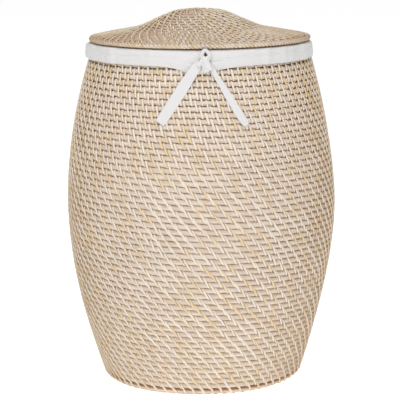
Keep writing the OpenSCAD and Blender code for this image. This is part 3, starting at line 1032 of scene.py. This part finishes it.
class BASKET_OT_lid(bpy.types.Operator):
    """Builds the lid's cane rows, their lashing, the border and the locating ring"""

    bl_idname = "basket.lid"
    bl_label = "Lid"

    def execute(self, context):
        sizes, lid = context.scene.basket_sizes, context.scene.basket_lid
        coil, _ = lid_coil(sizes, lid)
        radii = coil.middles[1:, 0]
        angles = [None] + lash_angles(radii, lid.spacing + lid.spacing_growth * radii, 4, 0.48, 8)
        for i, name in enumerate(LID_NODES):
            cane, lashing = Surface(), Surface()
            for row in range(1 + i * lid.rows_in_length, 1 + (i + 1) * lid.rows_in_length):
                sections = int(np.clip(TAU * coil.middles[row, 0] / 0.0045, 16, 256))
                add_cane(cane, coil, row, sections, -1, lid.washed)
                if row > 1:
                    add_lashing(lashing, coil, row, angles[row], sizes.peel_width * 0.86,
                                sizes.peel_thickness, lid.lean, -1, -1, 9)
            piece = cane.build(f"lid_{i + 1}_cane", finish("Whitewashed cane"), "cane", "lid")
            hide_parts(name)
            lashing.build(f"lid_{i + 1}_lashing", finish("Lashing peel"), "peel", "lid")
        radius, z = coil.middles[-1]
        hoop_r = height("lid_border_hoop") / 2
        hoop, wrap = Surface(), Surface()
        add_hoop(hoop, radius, z, hoop_r, 240, 15)
        piece = hoop.build("lid_border_cane", finish("Whitewashed cane"), "cane", "lid")
        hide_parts("lid_border_hoop")
        add_wrap(wrap, radius, z, height("lid_border_wrap") / 2 - sizes.peel_thickness * 0.5,
                 sizes.peel_thickness, lid.border_spacing, lid.border_slant, 16)
        piece = wrap.build("lid_border_winding", finish("Lashing peel"), "peel", "lid")
        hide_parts("lid_border_wrap")
        self.locating_ring(sizes)
        return {"FINISHED"}

    def locating_ring(self, sizes):
        """Two rows of cane under the brim, lashed together."""
        low, high = box("lid_locating_ring")
        cane_r = height(LID_NODES[0]) / 2
        ring_r = high[0] - cane_r
        middles = [(ring_r, low[2] + cane_r), (ring_r, high[2] - cane_r)]
        coil = Coil(middles, cane_r - 0.0007, 0.0, 51)
        cane, lashing = Surface(), Surface()
        for row in (0, 1):
            add_cane(cane, coil, row, 240)
        count = int(TAU * ring_r / 0.016)
        add_lashing(lashing, coil, 1, np.arange(count) * TAU / count, sizes.peel_width,
                    sizes.peel_thickness, sizes.rim_lean, 1, 1, 12)
        piece = cane.build("lid_locating_cane", finish("Whitewashed cane"), "cane", "lid")
        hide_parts("lid_locating_ring")
        lashing.build("lid_locating_lashing", finish("Lashing peel"), "peel", "lid")


class BASKET_OT_drawstring(bpy.types.Operator):
    """Builds the drawstring: the tape in the hem, the knot, its loop and the two hanging ends"""

    bl_idname = "basket.drawstring"
    bl_label = "Drawstring"

    def execute(self, context):
        sizes, cotton = context.scene.basket_sizes, context.scene.basket_cotton
        self.hanging_end("string_end_left", LEFT_ROUTE, LEFT_WIDTHS, 0.25, sizes, cotton)
        self.hanging_end("string_end_right", RIGHT_ROUTE, RIGHT_WIDTHS, -0.1, sizes, cotton)
        self.knot()
        self.loop()
        self.tape()
        return {"FINISHED"}

    def hanging_end(self, name, route, widths, crease_place, sizes, cotton):
        """A flat end of the tape, hanging down the wall."""
        path = hanging_path(route, cotton.tape_thickness, sizes)
        share = np.linspace(0, 1, len(path))
        width = np.interp(share, *zip(*widths))
        wave = 0.0006 * np.sin(share * 9 + crease_place * 7)
        surface = Surface()
        add_tape(surface, path, outward(path), width, cotton.tape_thickness,
                 crease=0.0006 + 0.3 * wave, crease_place=crease_place + 0.1 * np.sin(share * 5),
                 curl=0.0006 * np.sin(share * 4) ** 2)
        piece = surface.build(name + "_tape", finish("Cotton tape"), "cotton_tape", "liner")
        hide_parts(name)

    def knot(self):
        """Three wraps of crumpled tape, one over the other, and the strand that crosses them."""
        surface = Surface()
        front = -(HEM_R + 0.0045)
        for centre, half, tilt, seed in KNOT_LUMPS:
            add_lump(surface, np.array([centre[0], front + centre[1], centre[2]]), half, tilt, seed)
        for route, width in KNOT_STRANDS:
            path = smooth_path(np.array(route) + np.array([0, front, 0]), 0.0009)
            ease = np.sin(np.linspace(0.25, math.pi - 0.25, len(path)))
            add_tape(surface, path, outward(path), width * (0.75 + 0.25 * ease), 0.0034,
                     crease=0.0009, crease_place=0.15, curl=-0.0012)
        piece = surface.build("knot_wraps", finish("Cotton tape"), "cotton_tape", "liner")
        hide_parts("knot")

    def loop(self):
        """The narrow loop above the knot."""
        surface = Surface()
        path = smooth_path(np.array(LOOP_ROUTE) + np.array([0, -(HEM_R + 0.0022), 0]), 0.0006)
        share = np.linspace(0, 1, len(path))
        width = np.interp(share, [0, 0.2, 0.5, 0.8, 1], [0.0068, 0.0066, 0.0056, 0.0056, 0.0054])
        add_tape(surface, path, outward(path), width, 0.0036, crease=0.0010,
                 crease_place=-0.1 + 0.3 * share, curl=-0.0011)
        piece = surface.build("knot_loop_tape", finish("Cotton tape"), "cotton_tape", "liner")
        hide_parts("knot_loop")

    def tape(self):
        """The tape inside the hem: a flat ring, open in front."""
        low, high = box("drawstring")
        radius = (half_width("hem_casing") + half_width("drawstring")) / 2 - 0.0015
        angle = np.linspace(GAP_ANGLE + 0.02, GAP_ANGLE + TAU - 0.02, 400)
        path = round_axis(radius, angle, (low[2] + high[2]) / 2)
        surface = Surface()
        add_tape(surface, path, outward(path), 0.9 * (high[2] - low[2]), 0.0012)
        piece = surface.build("drawstring_tape", finish("Cotton tape"), "cotton_tape", "liner")
        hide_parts("drawstring")


# Across and up: the middle of each hanging end, and its width along the way
LEFT_ROUTE = [(0.001, 0.5452), (-0.0045, 0.5385), (-0.012, 0.528), (-0.020, 0.516),
              (-0.033, 0.496), (-0.048, 0.4735), (-0.0633, 0.4507)]
LEFT_WIDTHS = [(0, 0.0125), (0.12, 0.0150), (0.4, 0.0180), (0.8, 0.0180), (1, 0.0160)]
RIGHT_ROUTE = [(0.0165, 0.5375), (0.0205, 0.5315), (0.0285, 0.5180), (0.0395, 0.4995),
               (0.0505, 0.4815), (0.0615, 0.4635), (0.0725, 0.4460)]
RIGHT_WIDTHS = [(0, 0.0070), (0.12, 0.0080), (0.5, 0.0115), (0.85, 0.0130), (0.94, 0.0118),
                (1, 0.0075)]
# Middle, half sizes, slant of the creases and seed of each lump; places are from the hem's face
KNOT_LUMPS = [
    ((0.0098, 0.0004, 0.5478), (0.0052, 0.0040, 0.0056), 0.5, 1),
    ((0.0094, 0.0, 0.5405), (0.0076, 0.0046, 0.0062), -0.6, 2),
    ((0.0094, 0.0008, 0.5345), (0.0069, 0.0040, 0.0056), 0.1, 3),
]
KNOT_STRANDS = [
    ([(0.0045, 0.001, 0.5535), (0.0085, -0.0035, 0.5478), (0.0138, -0.0032, 0.5400),
      (0.0185, 0.0005, 0.5335)], 0.0078),
    ([(0.0140, 0.001, 0.5530), (0.0085, -0.0012, 0.5492), (0.0030, -0.0008, 0.5455),
      (-0.0035, 0.001, 0.5400)], 0.0085),
]
LOOP_ROUTE = [(0.0062, 0.0, 0.5465), (0.0038, -0.0006, 0.5520), (0.0034, -0.0008, 0.5572),
              (0.0050, -0.0006, 0.5612), (0.0082, -0.0004, 0.5634), (0.0116, -0.0004, 0.5614),
              (0.0142, -0.0006, 0.5572), (0.0144, -0.0006, 0.5520), (0.0125, 0.0, 0.5465)]


# The cuff's opening is in front of the knot
GAP_ANGLE = math.asin(0.0090 / HEM_R)
STITCH_Z = HEM_TOP + 0.0008
SEAM_ANGLE = -math.radians(32)


def cuff_line():
    """Middle line of the cuff's cloth from the inside over the rim to the hem.

    Gives the radius, the height, the thickness and how much it is on the outside, from 0 to 1."""
    inner_r = BAG_R - 0.0012
    outer_r = HEM_R - 0.0021
    arch_z = CUFF_TOP - 0.0085
    turn = np.linspace(math.pi, 0, 14)
    middle, reach = (inner_r + outer_r) / 2, (outer_r - inner_r) / 2
    arch_r = middle + reach * np.cos(turn)
    arch_top = arch_z + (CUFF_TOP - 0.0008 - arch_z) * np.sin(turn) ** 0.7
    inside_z = np.linspace(box("cuff")[0][2] - 0.0005, arch_z, 9)[:-1]
    band_z = np.linspace(arch_z, STITCH_Z, 4)[1:]
    hem = np.linspace(0, 1, 18)[1:]
    hem_z = STITCH_Z + (HEM_LOW - STITCH_Z) * hem
    puff = np.sin(np.pi * np.clip(hem * 1.02, 0, 1)) ** 0.9
    radius = np.concatenate([np.full(8, inner_r), arch_r, np.full(3, outer_r), outer_r + 0 * hem])
    z = np.concatenate([inside_z, arch_top, band_z, hem_z])
    thick = np.concatenate([np.full(25, 0.0014), 0.0012 + 0.0021 * puff])
    outside = np.concatenate([np.zeros(8), np.linspace(0, 1, 14), np.ones(20)])
    return radius, z, thick, outside


def cuff_angles():
    """Angles of the cuff's columns from one side of the opening round to the other, closer in front."""
    share = np.linspace(-1, 1, 760)
    return GAP_ANGLE + math.pi * (0.32 * share + 0.68 * share ** 5) + math.pi


def cuff_surface(angle, line, sizes, cotton):
    """Points and thickness of the cuff's cloth at angles, for a middle line.

    The hem dips towards the knot. Creases run out from the knot like spokes, each a narrow ridge
    across the direction from it. Gathers are ridges of many widths round the cuff."""
    radius, z, thick, outside = (part[None, :] for part in line)
    turn = (angle - GAP_ANGLE + math.pi) % TAU - math.pi
    x = (turn * HEM_R)[:, None]
    side = np.where((angle - GAP_ANGLE > math.pi) | (angle < GAP_ANGLE), -1, 1)[:, None]
    low = np.clip((CUFF_TOP - z) / (CUFF_TOP - STITCH_Z), 0, 1) * outside
    left = 0.0112 / (1 + (np.abs(x) / 0.042) ** 5)
    right = 0.0072 / (1 + (np.abs(x) / 0.036) ** 3)
    z_new = z - low * np.where(side < 0, left, right)
    far = np.clip((np.abs(x) - 0.06) / 0.08, 0, 1)
    out = cuff_folds(x, 21) * cotton.fold_depth * (0.8 + 2.6 * far) * (0.25 + 0.75 * outside)
    out = np.clip(out, *FOLD_LIMITS)
    stitch = np.exp(-((z - STITCH_Z) / 0.0016) ** 2) * outside
    near = np.exp(-(x / 0.055) ** 2)
    out = out - 0.0006 * stitch * near * (1 - 0.4 * np.sin(x / 0.0011 + 3 * np.sin(x / 0.013)))
    away_x, away_z = x, z_new - KNOT[2] - 0.0025
    reach = np.hypot(away_x, away_z)
    heading = np.arctan2(away_z, np.abs(away_x))
    rng = np.random.default_rng(31)
    spokes = np.zeros_like(reach)
    for place, spread, rise, way in zip(
            rng.uniform(-0.5, 0.55, 26), rng.uniform(0.03, 0.09, 26), rng.uniform(-1, 1, 26),
            rng.choice([-1, 1], 26)):
        spokes += rise * np.exp(-((heading - place) / spread) ** 2) * (side == way)
    out = out + 0.0012 * spokes * np.exp(-reach / 0.030) * outside * (reach > 0)
    seam = (angle - SEAM_ANGLE + math.pi) % TAU - math.pi
    seam = (seam * HEM_R)[:, None]
    out = out + outside * (0.0007 * np.exp(-((seam - 0.003) / 0.0022) ** 4)
                           - 0.0009 * np.exp(-(seam / 0.0008) ** 2))
    new_radius = radius + out
    clear = wall_radius(np.minimum(z_new, RIM_Z), sizes) + 0.0009 + thick / 2
    new_radius = np.where((outside > 0.9) & (new_radius < clear), clear, new_radius)
    half_gap = cuff_gap(z_new)
    shift = half_gap * np.exp(-(np.abs(x) / 0.008)) * side
    return round_axis(new_radius, angle[:, None] + shift / HEM_R, z_new), thick + 0 * x


# The cuff's opening: half widths shut and parted, the height where it parts and over what rise
GAP_CLOSED, GAP_PARTED = 0.0002, 0.0036
GAP_Z, GAP_RISE = 0.5485, 0.0035


def cuff_gap(z):
    """Half width of the cuff's opening: parted over the rim, closed down at the knot and inside."""
    over = np.clip((z - GAP_Z) / GAP_RISE, 0, 1)
    return GAP_CLOSED + GAP_PARTED * over


# Gathers: how many, their narrowest and widest reach, and how far in and out they may go
FOLDS = 110
FOLD_REACH = (0.003, 0.010)
FOLD_LIMITS = (-0.0007, 0.0024)


def cuff_folds(x, seed):
    """Gathers along the cuff: soft ridges at random places, wider and narrower."""
    rng = np.random.default_rng(seed)
    total = np.zeros_like(x)
    around = TAU * HEM_R
    for place, width, rise in zip(rng.uniform(0, around, FOLDS), rng.uniform(*FOLD_REACH, FOLDS),
                                  rng.uniform(-1, 1, FOLDS)):
        away = (x - place + around / 2) % around - around / 2
        total += rise * np.exp(-(away / width) ** 2)
    return total


class BASKET_OT_cuff(bpy.types.Operator):
    """Builds the cuff that folds over the rim, with the hem that holds the drawstring"""

    bl_idname = "basket.cuff"
    bl_label = "Cuff"

    def execute(self, context):
        sizes, cotton = context.scene.basket_sizes, context.scene.basket_cotton
        line = cuff_line()
        points, thick = cuff_surface(cuff_angles(), line, sizes, cotton)
        surface = Surface()
        add_cloth(surface, points, thick, wrap_rows=False)
        piece = surface.build("cuff_cloth", finish("White cotton"), "cotton", "liner")
        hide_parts("cuff", "hem_casing")
        stitches = self.stitches(line, sizes, cotton)
        return {"FINISHED"}

    def stitches(self, line, sizes, cotton):
        """Rows of stitches: along the hem's upper edge and down beside the seam."""
        surface = Surface()
        columns = np.arange(int(TAU * HEM_R / 0.0030))
        angle = GAP_ANGLE + 0.045 + columns * (TAU - 0.09) / len(columns)
        row = int(np.argmin(np.abs(line[1] - STITCH_Z) + 9 * (line[3] < 1)))
        ends = [cuff_surface(angle + side * 0.0010 / HEM_R, [part[row:row + 1] for part in line],
                             sizes, cotton)[0][:, 0] for side in (-1, 1)]
        add_stitches(surface, ends[0], ends[1], 0.0008)
        outer = np.arange(22, len(line[0]) - 1)
        z = np.linspace(line[1][-2], line[1][24], 14)
        place = [np.interp(z, line[1][outer][::-1], line[k][outer][::-1]) for k in range(4)]
        for side in (-0.0016, 0.0056):
            seam = np.array([SEAM_ANGLE + side / HEM_R])
            ends = [cuff_surface(seam, [place[0], place[1] + rise, place[2], place[3]],
                                 sizes, cotton)[0][0] for rise in (-0.0006, 0.0006)]
            add_stitches(surface, ends[0], ends[1], 0.0009)
        piece = surface.build("cuff_stitching", finish("Cotton tape"), "cotton_tape", "liner")
        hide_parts("cuff_seam")
        return piece


def add_stitches(surface, starts, ends, proud):
    """Adds stitches: short threads from starts to ends, each bowed outwards over the cloth."""
    share = np.array([0.0, 0.25, 0.5, 0.75, 1.0])
    bow = proud * np.sin(math.pi * share) ** 0.5 * 0.5 + proud * 0.35
    path = starts[:, None] + (ends - starts)[:, None] * share[None, :, None]
    face = unit(starts * np.array([1.0, 1.0, 0.0]))
    path = path + face[:, None] * bow[None, :, None]
    tangent = unit(ends - starts)
    across = unit(np.cross(tangent, face))
    normal = np.cross(across, tangent)
    turn = np.arange(5) * TAU / 5
    thick = 0.00032 * np.array([0.5, 1.0, 1.0, 1.0, 0.5])
    ring = (np.cos(turn)[:, None] * across[:, None, None] + np.sin(turn)[:, None]
            * normal[:, None, None]) * thick[None, :, None, None] + path[:, :, None]
    for stitch in ring:
        surface.add_grid(stitch, wrap_rows=False)


class BASKET_OT_bag(bpy.types.Operator):
    """Builds the cotton bag that hangs inside, with its seams"""

    bl_idname = "basket.bag"
    bl_label = "Bag"

    def execute(self, context):
        side_low, _ = box("bag_side")
        bottom_low, bottom_high = box("bag_bottom")
        self.side(side_low[2], box("cuff")[0][2], half_width("bag_bottom"))
        self.bottom(bottom_low[2], bottom_high[2], half_width("bag_bottom"))
        self.seams(half_width("bag_bottom"))
        return {"FINISHED"}

    def shape(self, angle, z, low, high, bottom_r):
        """Radius of the hanging bag: straight down, drawn in at the bottom, in soft upright folds."""
        taper = np.clip((z - low) / 0.065, 0, 1)
        base = bottom_r - 0.0012 + (BAG_R - bottom_r) * (1 - (1 - taper) ** 1.6)
        drop = np.clip((high - z) / (high - low), 0, 1)
        wave = slow_waves(61, 9, 26, 0.6)(angle, 6 * drop)
        wide = slow_waves(62, 4, 7, 0.5)(angle, 4 * drop)
        depth = 0.0045 * np.sin(math.pi * np.clip(drop, 0, 1)) ** 0.6
        return base - depth * (1.2 + wave * 0.8 + wide * 0.9).clip(0)

    def side(self, low, high, bottom_r):
        """The bag's side: a circle carried up, its radius folded."""
        z = np.concatenate([low + 0.065 * np.linspace(0, 1, 14)[:-1] ** 1.5,
                            np.linspace(low + 0.065, high + 0.004, 52)])[None, :]
        angle = (np.arange(360) * TAU / 360)[:, None]
        radius = self.shape(angle, z, low, high, bottom_r)
        points = round_axis(radius, angle, z + 0 * angle)
        surface = Surface()
        add_cloth(surface, points, np.full(points.shape[:2], 0.0011))
        piece = surface.build("bag_side_cloth", finish("White cotton"), "cotton", "liner")
        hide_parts("bag_side")

    def bottom(self, low, high, radius):
        """The bag's round bottom: a square grid drawn out to a circle, puckered at its edge."""
        line = np.linspace(-1, 1, 64)
        a, b = np.meshgrid(line, line, indexing="ij")
        x = a * np.sqrt(1 - b ** 2 / 2) * (radius - 0.0010)
        y = b * np.sqrt(1 - a ** 2 / 2) * (radius - 0.0010)
        reach, angle = np.hypot(x, y) / radius, np.arctan2(x, -y)
        wave = slow_waves(63, 8, 30, 0.0)(angle, 0)
        z = (low + high) / 2 + 0.0007 * wave * reach ** 6
        surface = Surface()
        add_cloth(surface, np.stack([x, y, z], axis=-1), np.full(x.shape, 0.0011), wrap_rows=False)
        piece = surface.build("bag_bottom_cloth", finish("White cotton"), "cotton", "liner")
        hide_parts("bag_bottom")

    def seams(self, bottom_r):
        """The turned-in edges: round the bottom and up the side."""
        low, high = box("bag_bottom_seam")
        radius = high[0] - 0.0011
        angle = np.arange(320) * TAU / 320
        waver = slow_waves(64, 8, 40, 0.0)(angle, 0)
        path = round_axis(radius - 0.0004 * (1 + waver), angle, (low[2] + high[2]) / 2)
        surface = Surface()
        add_tape(surface, path, outward(path), high[2] - low[2], 0.0014, curl=0.0003 * waver,
                 wrap=True)
        piece = surface.build("bag_bottom_seam_edge", finish("Cotton tape"), "cotton", "liner")
        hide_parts("bag_bottom_seam")
        low, high = box("bag_side_seam")
        z = np.linspace(high[2], low[2], 120)
        side_low, side_high = box("bag_side")[0][2], box("cuff")[0][2]
        radius = self.shape(np.array([SEAM_ANGLE]), z, side_low, side_high, bottom_r)
        path = round_axis(radius - 0.0012, SEAM_ANGLE, z)
        surface = Surface()
        add_tape(surface, path, outward(path), 0.0115, 0.0014, crease=0.0002, crease_place=0.0)
        piece = surface.build("bag_side_seam_edge", finish("Cotton tape"), "cotton", "liner")
        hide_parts("bag_side_seam")


# Size and place of each light, and the point that they both face
FRONT_LIGHT = (1.8, (-0.15, -3.1, 2.7))
TOP_LIGHT = (2.0, (-0.1, -0.8, 3.0))
LIGHTS_AIM = (0, 0, 0.35)


class BASKET_OT_stage(bpy.types.Operator):
    """Builds the floor, the lights and the camera"""

    bl_idname = "basket.stage"
    bl_label = "Stage"

    def execute(self, context):
        stage = context.scene.basket_stage
        self.floor(stage)
        self.lights(context, stage)
        self.camera(context, stage)
        context.scene.view_settings.view_transform = "Standard"
        return {"FINISHED"}

    def floor(self, stage):
        """A plain pale floor."""
        mesh = bpy.data.meshes.new("floor")
        s = stage.floor_size
        mesh.from_pydata([(-s, -s, 0), (s, -s, 0), (s, s, 0), (-s, s, 0)], [], [(0, 1, 2, 3)])
        material, _, shader = new_material("Pale floor")
        shader.inputs["Base Color"].default_value = (0.93, 0.93, 0.93, 1)
        shader.inputs["Roughness"].default_value = 0.8
        shader.inputs["Emission Color"].default_value = (1, 1, 1, 1)
        shader.inputs["Emission Strength"].default_value = stage.floor_glow
        mesh.materials.append(material)
        floor = bpy.data.objects.new("floor", mesh)
        bpy.context.scene.collection.objects.link(floor)

    def lights(self, context, stage):
        """An even sky, a broad light from the front and a softer one from above."""
        world = bpy.data.worlds.new("Studio")
        world.use_nodes = True
        world.node_tree.nodes["Background"].inputs["Color"].default_value = (1, 1, 1, 1)
        world.node_tree.nodes["Background"].inputs["Strength"].default_value = stage.sky
        context.scene.world = world
        for name, power, (size, place) in (("Front light", stage.key_power, FRONT_LIGHT),
                                           ("Top light", stage.fill_power, TOP_LIGHT)):
            light = bpy.data.lights.new(name, "AREA")
            light.energy = power
            light.size = size
            lamp = bpy.data.objects.new(name, light)
            lamp.location = place
            aim = Vector(LIGHTS_AIM) - Vector(place)
            lamp.rotation_euler = aim.to_track_quat("-Z", "Y").to_euler()
            context.scene.collection.objects.link(lamp)

    def camera(self, context, stage):
        """A long lens at standing height, looking down a little."""
        data = bpy.data.cameras.new("Camera")
        data.sensor_width = 36.0
        data.lens = stage.focal_width * data.sensor_width
        data.shift_x, data.shift_y = stage.camera_shift
        camera = bpy.data.objects.new("Camera", data)
        turn = Matrix.Rotation(math.pi / 2 - stage.camera_pitch, 4, "X")
        roll = Matrix.Rotation(-stage.camera_roll, 4, "Z")
        place = Matrix.Translation((0, -stage.camera_distance, stage.camera_height))
        camera.matrix_world = place @ turn @ roll
        context.scene.collection.objects.link(camera)
        context.scene.camera = camera


class BASKET_PT_panel(bpy.types.Panel):
    """Lists the basket's operators and sizes"""

    bl_label = "Laundry basket"
    bl_idname = "BASKET_PT_panel"
    bl_space_type = "VIEW_3D"
    bl_region_type = "UI"
    bl_category = "Basket"

    def draw(self, context):
        for operator in OPERATORS:
            self.layout.operator(operator.bl_idname)
        for group in ("basket_sizes", "basket_lid", "basket_cotton", "basket_colours",
                      "basket_stage"):
            column = self.layout.column(align=True)
            settings = getattr(context.scene, group)
            for name in settings.__annotations__:
                column.prop(settings, name)


OPERATORS = (BASKET_OT_stage, BASKET_OT_drawstring, BASKET_OT_cuff, BASKET_OT_bag, BASKET_OT_rim,
             BASKET_OT_wall, BASKET_OT_starts, BASKET_OT_lid)
SETTINGS = {
    "basket_sizes": BasketSizes,
    "basket_lid": LidSizes,
    "basket_cotton": CottonSizes,
    "basket_colours": FinishColours,
    "basket_stage": StageSizes,
}


def register():
    """Makes the settings, the operators and the panel known."""
    for name, settings in SETTINGS.items():
        bpy.utils.register_class(settings)
        setattr(bpy.types.Scene, name, PointerProperty(type=settings))
    for operator in OPERATORS:
        bpy.utils.register_class(operator)
    bpy.utils.register_class(BASKET_PT_panel)


def unregister():
    """Takes back what register made known."""
    bpy.utils.unregister_class(BASKET_PT_panel)
    for operator in reversed(OPERATORS):
        bpy.utils.unregister_class(operator)
    for name, settings in reversed(SETTINGS.items()):
        delattr(bpy.types.Scene, name)
        bpy.utils.unregister_class(settings)


def main():
    """Builds every piece."""
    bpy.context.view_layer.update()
    register()
    bpy.ops.basket.stage()
    bpy.ops.basket.drawstring()
    bpy.ops.basket.cuff()
    bpy.ops.basket.bag()
    bpy.ops.basket.rim()
    bpy.ops.basket.wall()
    bpy.ops.basket.starts()
    bpy.ops.basket.lid()


if __name__ == "__main__":
    main()
